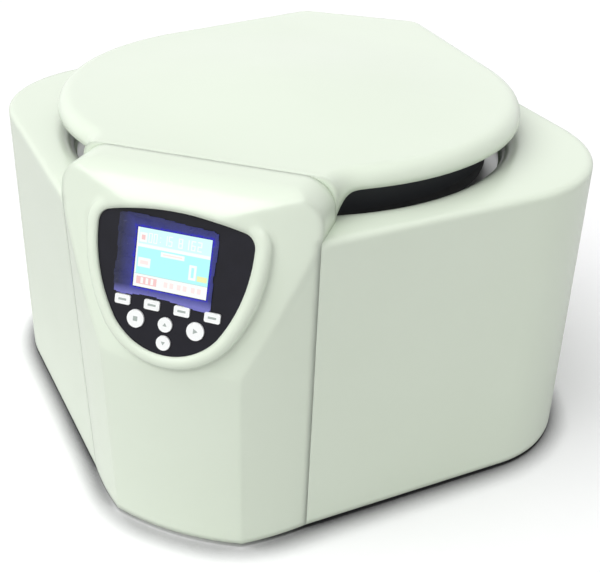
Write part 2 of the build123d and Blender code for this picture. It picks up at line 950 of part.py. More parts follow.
# Rotor: a steel shaft, a machined cross with four slots, a fluted nut, and four cups that swing
# out on trunnion pins
hub_low = rotor_z - rotor_thickness / 2 - rotor_hub_drop
cross_high = rotor_z + rotor_thickness / 2
with BuildPart() as rotor_shaft:
    with BuildSketch(Plane.XZ):
        with BuildLine():
            Polyline(
                (0, shaft_low), (shaft_radius, shaft_low), (shaft_radius, hub_low),
                (shaft_nose_radius, hub_low), (shaft_nose_radius, cross_high),
                (shaft_thread_radius, cross_high), (shaft_thread_radius, shaft_high),
                (0, shaft_high), close=True,
            )
        make_face()
    revolve(axis=Axis.Z)
    chamfer(edges().group_by(Axis.Z)[-1], shaft_chamfer)
save(rotor_shaft.part, "rotor_shaft")

cup_angles = [first_cup_angle + i * 360 / cup_count for i in range(cup_count)]


def cup_plane(angle):
    # At a cup's trunnion axis, X outwards and Y along the pins
    turn = radians(angle)
    return Plane(
        origin=(trunnion_radius * cos(turn), trunnion_radius * sin(turn), rotor_z),
        x_dir=(cos(turn), sin(turn), 0),
        z_dir=(0, 0, 1),
    )


slot_half = boss_reach + slot_gap
pin_end = slot_half + pin_seat
pin_start = boss_reach - (boss_reach - cup_outer_radius - pin_tip_gap)
with BuildPart() as rotor_cross:
    with BuildSketch(Plane.XY.offset(rotor_z - rotor_thickness / 2)):
        Circle(rotor_radius)
        for angle in cup_angles:
            with BuildSketch(mode=Mode.PRIVATE) as slot:
                with Locations(Location((0, 0, 0), (0, 0, angle))):
                    with Locations((slot_end, 0)):
                        Rectangle(
                            rotor_radius, 2 * slot_half, align=(Align.MIN, Align.CENTER)
                        )
                fillet(
                    vertices().filter_by(lambda v: hypot(v.X, v.Y) < rotor_radius - slot_corner),
                    slot_corner,
                )
            add(slot.sketch, mode=Mode.SUBTRACT)
    extrude(amount=rotor_thickness)
    with BuildSketch(Plane.XY.offset(hub_low)):
        Circle(rotor_hub_radius)
    extrude(amount=rotor_hub_drop)
    with BuildSketch(Plane.XY.offset(hub_low)):
        Circle(shaft_nose_radius + hinge_press_gap)
    extrude(amount=rotor_hub_drop + rotor_thickness, mode=Mode.SUBTRACT)
    for angle in cup_angles:
        for side in both_sides:
            with Locations(cup_plane(angle) * Location((0, side * slot_half, 0), (side * -90, 0, 0))):
                Cylinder(
                    pin_radius + hinge_press_gap, pin_seat,
                    align=(Align.CENTER, Align.CENTER, Align.MIN), mode=Mode.SUBTRACT,
                )
save(rotor_cross.part, "rotor_cross")

with BuildPart() as trunnion_pins:
    for angle in cup_angles:
        for side in both_sides:
            with Locations(cup_plane(angle) * Location((0, side * pin_start, 0), (side * -90, 0, 0))):
                Cylinder(
                    pin_radius, pin_end - pin_start,
                    align=(Align.CENTER, Align.CENTER, Align.MIN),
                )
save(trunnion_pins.part, "trunnion_pins")

with BuildPart() as rotor_nut:
    with BuildSketch(Plane.XY.offset(cross_high)):
        Circle(nut_radius)
        with PolarLocations(nut_radius + nut_flute_radius / 2, nut_flutes):
            Circle(nut_flute_radius, mode=Mode.SUBTRACT)
        Circle(shaft_thread_radius + hinge_press_gap, mode=Mode.SUBTRACT)
    extrude(amount=nut_height)
save(rotor_nut.part, "rotor_nut")

boss_start = sqrt(cup_outer_radius**2 - boss_radius**2) - fit_gap
cup_inner_radius = cup_outer_radius - cup_wall
well_radius = cushion_radius + fit_gap
well_high = cup_wall + cup_foot_radius - cup_below
for number, angle in enumerate(cup_angles, 1):
    at_trunnion = cup_plane(angle)
    profile_plane = Plane(
        origin=at_trunnion.origin, x_dir=at_trunnion.x_dir, z_dir=-at_trunnion.y_dir
    )
    with BuildPart() as cup:
        with BuildSketch(profile_plane):
            with BuildLine():
                heel_bend = RadiusArc(
                    (cup_outer_radius - cup_foot_radius, -cup_below),
                    (cup_outer_radius, cup_foot_radius - cup_below),
                    -cup_foot_radius,
                )
                Polyline(
                    heel_bend @ 1,
                    (cup_outer_radius, cup_above - cup_rim_height),
                    (cup_outer_radius + cup_rim, cup_above - cup_rim_height),
                    (cup_outer_radius + cup_rim, cup_above),
                    (cup_inner_radius, cup_above),
                    (cup_inner_radius, well_high),
                    (well_radius, well_high),
                    (well_radius, cup_wall - cup_below),
                    (0, cup_wall - cup_below),
                    (0, -cup_below),
                    heel_bend @ 0,
                )
            make_face()
        revolve(axis=Axis(at_trunnion.origin, (0, 0, 1)))
        for side in both_sides:
            outwards = at_trunnion.y_dir * side
            boss_plane = Plane(
                origin=at_trunnion.origin + outwards * boss_start, x_dir=at_trunnion.x_dir,
                z_dir=outwards,
            )
            with BuildSketch(boss_plane):
                Circle(boss_radius)
            extrude(amount=boss_reach - boss_start)
            with BuildSketch(boss_plane.offset(boss_reach - boss_start)):
                Circle(pin_radius + pin_gap)
            extrude(amount=cup_outer_radius - boss_reach, mode=Mode.SUBTRACT)
    save(cup.part, f"cup_{number}")
    with BuildPart() as cushion:
        with BuildSketch(at_trunnion.offset(cup_wall - cup_below)):
            Circle(cushion_radius)
        extrude(amount=cushion_thickness)
    save(cushion.part, f"cushion_{number}")

# Lock: a housing under the bowl flange with a channel for the striker and a bolt that slides
# backwards into the striker's window
channel_front = striker_front - striker_forward
channel_back = striker_front + striker_thickness + striker_back_gap
bolt_tip = channel_front - slide_gap
bolt_tail = bolt_tip - bolt_length
lock_front = bolt_tail - slide_gap
with BuildPart() as lock_housing:
    with BuildSketch(Plane.XY.offset(lock_low)):
        with BuildLine():
            Polyline(
                (-lock_half, lock_front), (-lock_half, lock_back), (lock_half, lock_back),
                (lock_half, lock_front), close=True,
            )
        make_face()
    extrude(amount=lock_high - lock_low)
    with BuildSketch(Plane.XY.offset(lock_high)):
        with BuildLine():
            Polyline(
                (-notch_half, channel_front), (-notch_half, channel_back),
                (notch_half, channel_back), (notch_half, channel_front), close=True,
            )
        make_face()
    extrude(amount=-(lock_high - striker_low + striker_forward), mode=Mode.SUBTRACT)
    with BuildSketch(Plane.XZ.offset(-lock_front)):
        with Locations((0, bolt_z)):
            Rectangle(2 * (bolt_half + slide_gap), bolt_height + 2 * slide_gap)
    extrude(amount=lock_front - channel_front, mode=Mode.SUBTRACT)
save(lock_housing.part, "lock_housing")

with BuildPart() as lock_bolt:
    with BuildSketch(Plane.XZ.offset(-bolt_tip)):
        with Locations((0, bolt_z)):
            Rectangle(2 * bolt_half, bolt_height)
    extrude(amount=bolt_length)
save(lock_bolt.part, "lock_bolt")

with BuildPart() as lock_actuator:
    with BuildSketch(Plane.XZ.offset(-lock_front)):
        with Locations((0, lock_high)):
            Rectangle(2 * actuator_half, actuator_height, align=(Align.CENTER, Align.MAX))
    extrude(amount=lock_front - (seam_y + wall))
save(lock_actuator.part, "lock_actuator")

with BuildPart() as lock_bracket:
    with BuildSketch(Plane.XY.offset(lock_low)):
        with BuildLine():
            Polyline(
                (-lock_half, seam_y + wall), (-lock_half, lock_back), (lock_half, lock_back),
                (lock_half, seam_y + wall), close=True,
            )
        make_face()
    extrude(amount=-bracket_thickness)
save(lock_bracket.part, "lock_bracket")

# Back plate with its louvres, mains inlet and power switch
plate_outer_y = back_y + plate
plate_middle = (plate_low + plate_high) / 2
screw_places = [
    (x * (plate_half - plate_lap / 2), plate_middle + y * (plate_high - plate_low - plate_lap) / 2)
    for x in both_sides for y in (-1, 0, 1)
]
back_face = Plane(origin=(0, plate_outer_y, 0), x_dir=(-1, 0, 0), z_dir=(0, 1, 0))
with BuildPart() as rear_panel:
    with BuildSketch(back_face):
        with Locations((0, plate_middle)):
            RectangleRounded(2 * plate_half, plate_high - plate_low, plate_corner)
        with Locations((-inlet_x, inlet_z)):
            Rectangle(inlet_body_width + 2 * pan_gap, inlet_body_height + 2 * pan_gap, mode=Mode.SUBTRACT)
        with Locations((-switch_x, inlet_z)):
            Rectangle(
                switch_width - switch_rim, switch_height - switch_rim, mode=Mode.SUBTRACT
            )
        with Locations(*[(0, louvre_low + i * louvre_pitch) for i in range(louvre_count)]):
            SlotOverall(louvre_width, louvre_height, mode=Mode.SUBTRACT)
        with Locations(*screw_places):
            Circle(screw_radius + screw_gap, mode=Mode.SUBTRACT)
    extrude(amount=-plate)
save(rear_panel.part, "rear_panel")

with BuildPart() as rear_panel_screws:
    with BuildSketch(back_face):
        with Locations(*screw_places):
            Circle(screw_head_radius)
    extrude(amount=screw_head)
    fillet(faces().sort_by(Axis.Y)[-1].edges(), screw_head_edge)
    with BuildSketch(back_face):
        with Locations(*screw_places):
            Circle(screw_radius)
    extrude(amount=-plate)
save(rear_panel_screws.part, "rear_panel_screws")

inlet_front = back_face.offset(inlet_flange)
with BuildPart() as mains_inlet:
    with BuildSketch(back_face):
        with Locations((-inlet_x, inlet_z)):
            RectangleRounded(inlet_flange_width, inlet_flange_height, inlet_corner)
    extrude(amount=inlet_flange)
    with BuildSketch(back_face):
        with Locations((-inlet_x, inlet_z)):
            Rectangle(inlet_body_width, inlet_body_height)
    extrude(amount=-(inlet_body_depth - inlet_flange))
    with BuildSketch(inlet_front):
        with Locations((-inlet_x, inlet_z)):
            Rectangle(inlet_width, inlet_height)
    extrude(amount=-inlet_depth, mode=Mode.SUBTRACT)
save(mains_inlet.part, "mains_inlet")
with BuildPart() as inlet_pins:
    with BuildSketch(inlet_front.offset(-inlet_depth)):
        with Locations((-inlet_x, inlet_z + pin_blade_height)):
            Rectangle(pin_blade_width, pin_blade_height)
        with Locations(*[(-inlet_x + x * pin_blade_pitch / 2, inlet_z) for x in both_sides]):
            Rectangle(pin_blade_width, pin_blade_height)
    extrude(amount=pin_blade_length)
save(inlet_pins.part, "inlet_pins")

# Rocker switch: a bezel with a round-bottomed well, and a rocker tipped one way at rest
rocker_y = plate_outer_y + inlet_flange - rocker_sunk
with BuildPart() as switch_housing:
    with BuildSketch(back_face):
        with Locations((-switch_x, inlet_z)):
            RectangleRounded(switch_width, switch_height, switch_corner)
    extrude(amount=inlet_flange)
    with BuildSketch(back_face):
        with Locations((-switch_x, inlet_z)):
            Rectangle(
                switch_width - switch_rim - 2 * pan_gap, switch_height - switch_rim - 2 * pan_gap
            )
    extrude(amount=-switch_depth)
    with BuildSketch(Plane.YZ.offset(switch_x)):
        with Locations((rocker_y, inlet_z)):
            Circle(rocker_radius + rocker_gap)
        with Locations((rocker_y, inlet_z)):
            Rectangle(
                rocker_sunk * 2, 2 * (rocker_radius + rocker_gap), align=(Align.MIN, Align.CENTER)
            )
    extrude(amount=rocker_width / 2 + rocker_gap, both=True, mode=Mode.SUBTRACT)
save(switch_housing.part, "switch_housing")

half_swing = radians(rocker_swing / 2)
with BuildPart() as power_rocker:
    with BuildSketch(Plane.YZ.offset(switch_x)):
        with Locations((rocker_y, inlet_z)):
            Circle(rocker_radius)
        for side in both_sides:
            # Two flat faces meet in a low ridge; one is upright at rest
            face_turn = -half_swing + side * half_swing
            with BuildSketch(mode=Mode.PRIVATE) as slab:
                with Locations(Location((rocker_y, inlet_z, 0), (0, 0, degrees(face_turn)))):
                    with Locations((rocker_face, 0)):
                        Rectangle(
                            rocker_radius, 3 * rocker_radius, align=(Align.MIN, Align.CENTER)
                        )
            add(slab.sketch, mode=Mode.SUBTRACT)
    extrude(amount=rocker_width / 2, both=True)
save(power_rocker.part, "power_rocker")

# Electrics on the base: the drive board on its standoffs, and the mains filter in its case
standoff_places = [
    (board_x + board_width / 2 + x * (board_width / 2 - standoff_inset),
     board_y + y * (board_length / 2 - standoff_inset))
    for x in both_sides for y in both_sides
]
with BuildPart() as board_standoffs:
    with BuildSketch(Plane.XY.offset(pan_top)):
        with Locations(*standoff_places):
            Circle(standoff_radius)
    extrude(amount=board_z - pan_top)
save(board_standoffs.part, "board_standoffs")

board_top = board_z + board_thickness
with BuildPart() as drive_board:
    with BuildSketch(Plane.XY.offset(board_z)):
        with Locations((board_x + board_width / 2, board_y)):
            Rectangle(board_width, board_length)
    extrude(amount=board_thickness)
    with BuildSketch(Plane.XY.offset(board_top)):
        with Locations((board_x + board_width - board_margin, board_y)):
            Rectangle(sink_width, sink_length)
    extrude(amount=sink_height)
    with BuildSketch(Plane.XY.offset(board_top + sink_foot)):
        with GridLocations(0, sink_pitch, 1, sink_slots):
            with Locations((board_x + board_width - board_margin, board_y)):
                Rectangle(sink_width, sink_pitch / 2)
    extrude(amount=sink_height - sink_foot, mode=Mode.SUBTRACT)
    with BuildSketch(Plane.XY.offset(board_top)):
        with Locations(*[(board_x + board_margin, board_y + i * can_pitch) for i in (-1, 0, 1)]):
            Circle(can_radius)
    extrude(amount=can_height)
save(drive_board.part, "drive_board")

with BuildPart() as mains_filter:
    with BuildSketch(Plane.XY.offset(pan_top)):
        with Locations((-(board_x + board_width / 2), board_y)):
            RectangleRounded(board_width, board_length, filter_corner)
    extrude(amount=filter_height)
save(mains_filter.part, "mains_filter")

with BuildPart() as pan_screws:
    with BuildSketch(Plane.XY.offset(foot_height)):
        with Locations(*pan_screw_places, *[(-x, y) for x, y in pan_screw_places]):
            Circle(screw_head_radius)
    extrude(amount=-screw_head)
save(pan_screws.part, "pan_screws")
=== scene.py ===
from math import cos, pi, radians, sin

import bmesh
import bpy
from mathutils import Matrix, Vector


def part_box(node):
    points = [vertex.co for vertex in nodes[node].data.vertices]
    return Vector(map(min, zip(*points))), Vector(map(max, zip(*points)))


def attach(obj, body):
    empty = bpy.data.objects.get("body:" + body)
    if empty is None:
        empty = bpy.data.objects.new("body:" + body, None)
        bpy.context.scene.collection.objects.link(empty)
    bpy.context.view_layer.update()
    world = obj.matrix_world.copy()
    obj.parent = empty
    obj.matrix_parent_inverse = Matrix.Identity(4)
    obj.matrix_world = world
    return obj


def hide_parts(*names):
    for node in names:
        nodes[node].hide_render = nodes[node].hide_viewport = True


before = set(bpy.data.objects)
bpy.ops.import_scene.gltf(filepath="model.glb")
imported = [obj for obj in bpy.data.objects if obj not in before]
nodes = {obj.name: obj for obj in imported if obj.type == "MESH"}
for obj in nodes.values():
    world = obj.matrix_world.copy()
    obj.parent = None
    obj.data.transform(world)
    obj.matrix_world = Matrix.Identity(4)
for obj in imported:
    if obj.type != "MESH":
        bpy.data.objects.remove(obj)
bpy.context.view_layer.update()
scene = bpy.context.scene
scene.view_settings.view_transform = "Standard"


# Camera: about a metre off, to the right of the fascia and looking down on the lid. Its turn,
# height and field come from the machine's own edges in the photograph.
mm = 0.001
camera_turn = radians(19.12)
camera_lift = radians(31.46)
camera_roll = radians(1.0)
camera_distance = 0.97193
camera_aside = 0.01814
camera_drop = 0.04471
middle_height = 0.1575
backwards = Vector((
    sin(camera_turn) * cos(camera_lift), -cos(camera_turn) * cos(camera_lift), sin(camera_lift)
))
across = (-backwards).cross(Vector((0, 0, 1))).normalized()
upwards = across.cross(-backwards)
rolled_across = across * cos(camera_roll) + upwards * sin(camera_roll)
rolled_up = upwards * cos(camera_roll) - across * sin(camera_roll)
camera_place = (
    backwards * camera_distance - across * camera_aside - upwards * camera_drop
    + Vector((0, 0, middle_height))
)
camera_data = bpy.data.cameras.new("camera")
camera_data.sensor_fit = "HORIZONTAL"
camera_data.sensor_width = 36
camera_data.lens = 49.97
camera_data.shift_x = 0.0535
camera_data.shift_y = -0.0072
camera_data.clip_start = 0.01
camera = bpy.data.objects.new("camera", camera_data)
camera.matrix_world = Matrix.Translation(camera_place) @ Matrix(
    (rolled_across, rolled_up, backwards)
).transposed().to_4x4()
scene.collection.objects.link(camera)
scene.camera = camera


# Floor and light: a matt white sweep under a soft white room, with a broad lamp high on the left
# and a small one without shadows on the right for the glints. The sweep darkens where the machine
# shuts out the light beside it, so that its foot has a contact shadow.
def linear(code):
    channels = [int(code[i:i + 2], 16) / 255 for i in (1, 3, 5)]
    return [c / 12.92 if c <= 0.04045 else ((c + 0.055) / 1.055) ** 2.4 for c in channels] + [1]


def add_node(tree, kind, settings=None, links=None):
    node = tree.nodes.new(kind)
    for name, value in (settings or {}).items():
        if isinstance(name, int) or name in node.inputs:
            node.inputs[name].default_value = value
        else:
            setattr(node, name, value)
    for name, source in (links or {}).items():
        tree.links.new(source, node.inputs[name])
    return node


def new_material(name):
    material = bpy.data.materials.new(name)
    material.use_nodes = True
    material.node_tree.nodes.clear()
    return material, material.node_tree


def add_sun(name, energy, spread, direction):
    # Its light comes from that direction, over a disc of that many degrees
    data = bpy.data.lights.new(name, "SUN")
    data.energy = energy
    data.angle = radians(spread)
    lamp = bpy.data.objects.new(name, data)
    lamp.rotation_euler = Vector(direction).to_track_quat("Z", "Y").to_euler()
    scene.collection.objects.link(lamp)
    return data


room_strength = 0.40
seen_room = 1.0
world = bpy.data.worlds.new("soft_room")
scene.world = world
world.use_nodes = True
world.node_tree.nodes.clear()
path = add_node(world.node_tree, "ShaderNodeLightPath")
seen = add_node(
    world.node_tree, "ShaderNodeMath", {"operation": "MAXIMUM"},
    {0: path.outputs["Is Camera Ray"], 1: path.outputs["Is Glossy Ray"]},
)
seen = add_node(
    world.node_tree, "ShaderNodeMath", {"operation": "MAXIMUM"},
    {0: seen.outputs[0], 1: path.outputs["Is Transmission Ray"]},
)
strength = add_node(
    world.node_tree, "ShaderNodeMapRange", {"To Min": room_strength, "To Max": seen_room},
    {"Value": seen.outputs[0]},
)
room = add_node(
    world.node_tree, "ShaderNodeBackground", {"Color": linear("#FFFFFF")},
    {"Strength": strength.outputs["Result"]},
)
add_node(world.node_tree, "ShaderNodeOutputWorld", links={"Surface": room.outputs[0]})

add_sun("broad_lamp", 2.0, 56, (-0.42, -0.32, 0.76))
glint = add_sun("glint_lamp", 0.6, 5, (0.34, -0.58, 0.74))
glint.use_shadow = False

floor_half = 6.0
contact_reach = 45 * mm
contact_samples = 16
light_at_foot = 0.50
light_in_open = 0.84
paper_lift = 0.10
floor_mesh = bpy.data.meshes.new("floor")
floor_mesh.from_pydata(
    [(x * floor_half, y * floor_half, 0) for x, y in ((-1, -1), (1, -1), (1, 1), (-1, 1))],
    [], [(0, 1, 2, 3)],
)
floor = bpy.data.objects.new("floor", floor_mesh)
scene.collection.objects.link(floor)
white_sweep, tree = new_material("white_sweep")
path = add_node(tree, "ShaderNodeLightPath")
open_sky = add_node(
    tree, "ShaderNodeAmbientOcclusion", {"Distance": contact_reach, "samples": contact_samples},
)
contact = add_node(
    tree, "ShaderNodeMapRange", {"From Min": light_at_foot, "From Max": light_in_open},
    {"Value": open_sky.outputs["AO"]},
)
seen_paper = add_node(
    tree, "ShaderNodeMix", {"data_type": "RGBA", 6: linear("#2A2A2C"), 7: linear("#F4F4F5")},
    {0: contact.outputs["Result"]},
)
tone = add_node(
    tree, "ShaderNodeMix", {"data_type": "RGBA", 6: linear("#D4D4D4")},
    {0: path.outputs["Is Camera Ray"], 7: seen_paper.outputs[2]},
)
paper = add_node(tree, "ShaderNodeBsdfDiffuse", links={"Color": tone.outputs[2]})
seen_lift = add_node(
    tree, "ShaderNodeMath", {"operation": "MULTIPLY", 1: paper_lift},
    {0: path.outputs["Is Camera Ray"]},
)
lift = add_node(
    tree, "ShaderNodeEmission",
    links={"Color": seen_paper.outputs[2], "Strength": seen_lift.outputs[0]},
)
bright = add_node(tree, "ShaderNodeAddShader", links={0: paper.outputs[0], 1: lift.outputs[0]})
add_node(tree, "ShaderNodeOutputMaterial", links={"Surface": bright.outputs[0]})
floor_mesh.materials.append(white_sweep)


# Housing, fascia and lid: thick ivory shells of glossy moulded plastic with a faint green cast.
# Their creases are softly rounded, and an orange peel 7 mm from crest to crest breaks up their
# highlights. The real peel is finer.
def finish(material, *names):
    for name in names:
        node = nodes[name]
        node.data.materials.clear()
        node.data.materials.append(material)


clouds_per_metre = 6.0
peel_size = 7 * mm
peel_depth = 0.05 * mm
crease_radius = 9 * mm
crease_samples = 6
ivory_abs, tree = new_material("glossy_ivory_abs")
place = add_node(tree, "ShaderNodeTexCoord")
clouds = add_node(
    tree, "ShaderNodeTexNoise", {"Scale": clouds_per_metre, "Detail": 2.0},
    {"Vector": place.outputs["Object"]},
)
tint = add_node(
    tree, "ShaderNodeMix", {"data_type": "RGBA", 6: linear("#E7F1E1"), 7: linear("#E1ECD9")},
    {0: clouds.outputs["Fac"]},
)
peel = add_node(
    tree, "ShaderNodeTexNoise", {"Scale": 1 / peel_size, "Detail": 1.0},
    {"Vector": place.outputs["Object"]},
)
soft_creases = add_node(
    tree, "ShaderNodeBevel", {"samples": crease_samples, "Radius": crease_radius}
)
bump = add_node(
    tree, "ShaderNodeBump", {"Strength": 0.25, "Distance": peel_depth},
    {"Height": peel.outputs["Fac"], "Normal": soft_creases.outputs["Normal"]},
)
shell = add_node(
    tree, "ShaderNodeBsdfPrincipled",
    {"Roughness": 0.27, "IOR": 1.53, "Coat Weight": 0.15, "Coat Roughness": 0.12},
    {"Base Color": tint.outputs[2], "Normal": bump.outputs[0]},
)
add_node(tree, "ShaderNodeOutputMaterial", links={"Surface": shell.outputs[0]})
finish(ivory_abs, "body_shell", "nose_fascia", "lid_shell")


# Control panel: one piece of black satin plastic let into the ring. Its moulded grain is 0.6 mm,
# coarser than the real one so that it shows, and dust lightens it a little.
panel_grain = 0.6 * mm
panel_grain_depth = 0.02 * mm
dust_size = 18 * mm
panel_black, tree = new_material("satin_black_abs")
place = add_node(tree, "ShaderNodeTexCoord")
grain = add_node(
    tree, "ShaderNodeTexNoise", {"Scale": 1 / panel_grain, "Detail": 2.0},
    {"Vector": place.outputs["Object"]},
)
dust = add_node(
    tree, "ShaderNodeTexNoise", {"Scale": 1 / dust_size, "Detail": 6.0},
    {"Vector": place.outputs["Object"]},
)
tint = add_node(
    tree, "ShaderNodeMix", {"data_type": "RGBA", 6: linear("#0E0D14"), 7: linear("#1A1A24")},
    {0: dust.outputs["Fac"]},
)
bump = add_node(
    tree, "ShaderNodeBump", {"Strength": 0.3, "Distance": panel_grain_depth},
    {"Height": grain.outputs["Fac"]},
)
shell = add_node(
    tree, "ShaderNodeBsdfPrincipled",
    {"Roughness": 0.36, "IOR": 1.5, "Specular IOR Level": 0.28},
    {"Base Color": tint.outputs[2], "Normal": bump.outputs[0]},
)
add_node(tree, "ShaderNodeOutputMaterial", links={"Surface": shell.outputs[0]})
finish(panel_black, "control_panel", "panel_posts")


# Lit screen: a backlit liquid crystal picture behind its glass. The picture lies on the glass as
# flat fields and plain seven-bar digits, each in the colour that the backlight gives it.
panel_tilt = radians(20)
panel_origin = Vector((0, -315 * mm, 225.75 * mm))
panel_up = Vector((0, sin(panel_tilt), cos(panel_tilt)))
panel_out = Vector((0, -cos(panel_tilt), sin(panel_tilt)))
panel_face = -0.6
screen_half_width = 32.5
screen_half_height = 24.5
screen_middle = 67.8
picture_lift = 0.02
layer_step = 0.012


def on_panel(x, t, height):
    # The point x mm across and t mm up the tilted panel, and height mm out of it, in metres
    place = Vector((x, 0, 0)) + panel_up * t + panel_out * height
    return place * mm + panel_origin


def link_piece(name, mesh, body, slot, *materials):
    piece = bpy.data.objects.new(name, mesh)
    scene.collection.objects.link(piece)
    for material in materials:
        mesh.materials.append(material)
    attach(piece, body)
    return piece


def glow(name, code):
    material, tree = new_material(name)
    lit = add_node(
        tree, "ShaderNodeBsdfPrincipled",
        {
            "Base Color": linear("#101214"), "Roughness": 0.15,
            "Emission Color": linear(code), "Emission Strength": 1.0,
        },
    )
    add_node(tree, "ShaderNodeOutputMaterial", links={"Surface": lit.outputs[0]})
    return material


cyan, pale_cyan, white, grey, yellow, red, pink = range(7)
screen_colours = [
    glow("backlit_cyan", "#B4FBFA"),
    glow("backlit_pale_cyan", "#D6FCFA"),
    glow("backlit_white", "#F8FDF9"),
    glow("backlit_grey", "#B9DEDC"),
    glow("backlit_yellow", "#F2F3B4"),
    glow("backlit_red", "#F6C9C8"),
    glow("backlit_pink", "#FBE9E6"),
]
finish(screen_colours[cyan], "screen_glass")

seven_bars = {
    "0": "abcdef", "1": "bc", "2": "abged", "5": "acdfg", "6": "acdefg", "8": "abcdefg", ":": "",
}
picture = bmesh.new()


def field(left, right, top, bottom, colour, layer):
    # One flat field, in shares of the picture's width from its left and height from its top
    height = panel_face + picture_lift + layer_step * layer
    corners = [(left, bottom), (right, bottom), (right, top), (left, top)]
    points = [
        picture.verts.new(on_panel(
            (2 * x - 1) * screen_half_width,
            screen_middle + (1 - 2 * y) * screen_half_height,
            height,
        ))
        for x, y in corners
    ]
    picture.faces.new(points).material_index = colour


def digit(kind, left, right, top, bottom, bar):
    # One digit or a colon, in white bars that are about as thick across as up
    middle = (top + bottom) / 2
    upright = bar * 1.3
    bars = {
        "a": (left, right, top, top + upright), "d": (left, right, bottom - upright, bottom),
        "g": (left, right, middle - upright / 2, middle + upright / 2),
        "f": (left, left + bar, top, middle), "b": (right - bar, right, top, middle),
        "e": (left, left + bar, middle, bottom), "c": (right - bar, right, middle, bottom),
    }
    for number, key in enumerate(seven_bars[kind]):
        field(*bars[key], white, 4 + 0.3 * number)
    if kind == ":":
        centre = (left + right) / 2
        for y in (top + 0.3 * (bottom - top), top + 0.75 * (bottom - top)):
            field(centre - bar / 2, centre + bar / 2, y - upright / 2, y + upright / 2, white, 4)


# The grounds of the picture's rows, and the badge at its upper left
for shape in (
    (0.0, 1.0, 0.0, 0.27, pale_cyan, 1),
    (0.0, 1.0, 0.27, 0.325, white, 1),
    (0.0, 1.0, 0.325, 0.775, cyan, 1),
    (0.0, 1.0, 0.775, 1.0, white, 1),
    (0.0, 0.022, 0.0, 1.0, white, 2),
    (0.0, 1.0, 0.775, 0.785, grey, 2),
    (0.035, 0.135, 0.08, 0.24, white, 3),
    (0.06, 0.11, 0.12, 0.20, red, 5),
):
    field(*shape)
# The upper row's time and count
for position, kind in enumerate("00:15"):
    left = 0.155 + 0.068 * position
    digit(kind, left, left + 0.052, 0.07, 0.235, 0.013)
for position, kind in enumerate("8162"):
    left = 0.56 + 0.085 * position
    digit(kind, left, left + 0.06, 0.07, 0.235, 0.015)
# The middle row's boxes and large digit
for shape in (
    (0.34, 0.66, 0.35, 0.43, white, 3),
    (0.37, 0.63, 0.38, 0.40, pink, 5),
    (0.04, 0.21, 0.50, 0.66, white, 3),
    (0.07, 0.18, 0.55, 0.61, pink, 5),
):
    field(*shape)
digit("0", 0.735, 0.835, 0.47, 0.72, 0.032)
field(0.85, 0.985, 0.63, 0.72, yellow, 3)
# The lower row's red box and pink blocks
field(0.04, 0.32, 0.82, 0.95, red, 3)
for x in (0.10, 0.17, 0.24):
    field(x, x + 0.035, 0.835, 0.935, white, 5)
for x in (0.42, 0.50, 0.60, 0.68, 0.79, 0.87):
    field(x, x + 0.05, 0.84, 0.93, pink, 3)
picture_mesh = bpy.data.meshes.new("screen_picture")
picture.to_mesh(picture_mesh)
picture.free()
link_piece("screen_picture", picture_mesh, "frame", "screen", *screen_colours)


# Film over the screen: thin clear plastic still on from the works, wrinkled and torn at its
# edges. Over the dark border it is blue-violet with a faint painted glow of its own colour,
# brightest in a painted blue where the screen's light leaks out.
film_outline = [
    (-48.5, 36.5), (-41, 35.0), (-20, 37.5), (2, 36.2), (20, 34.0), (36.8, 33.2), (37.8, 40),
    (37.0, 62), (38.4, 84), (37.6, 97.5), (33, 99.5), (10, 100.5), (-14, 102.5), (-38, 103.5),
    (-49.2, 102), (-50.0, 88), (-48.6, 66), (-50.2, 52),
]
film_cell = 0.75
film_left = -51
film_bottom = 32
film_columns = 121
film_rows = 97
film_lift = 0.45
fold_height = 0.4
flat_margin = 8


def inside(x, t, outline):
    hit = False
    for (x1, t1), (x2, t2) in zip(outline, outline[1:] + outline[:1]):
        if (t1 > t) != (t2 > t) and x < x1 + (t - t1) * (x2 - x1) / (t2 - t1):
            hit = not hit
    return hit


def film_height(x, t):
    # The film lies flat over the lit screen and its folds rise over the margin round it
    border = max(abs(x) - screen_half_width, abs(t - screen_middle) - screen_half_height)
    loose = min(max(border / flat_margin, 0), 1)
    fold = sin(0.31 * x + 0.24 * t) * sin(0.13 * t - 0.19 * x)
    return panel_face + film_lift + fold_height * loose * (1 + fold)


film = bmesh.new()
columns = [film_left + film_cell * i for i in range(film_columns)]
rows = [film_bottom + film_cell * i for i in range(film_rows)]
corners = {}
for x in columns[:-1]:
    for t in rows[:-1]:
        if not inside(x + film_cell / 2, t + film_cell / 2, film_outline):
            continue
        right = x + film_cell
        top = t + film_cell
        square = []
        for corner in ((x, t), (right, t), (right, top), (x, top)):
            key = (round(corner[0], 3), round(corner[1], 3))
            if key not in corners:
                corners[key] = film.verts.new(on_panel(*corner, film_height(*corner)))
            square.append(corners[key])
        film.faces.new(square).smooth = True
film_mesh = bpy.data.meshes.new("loose_film")
film.to_mesh(film_mesh)
film.free()

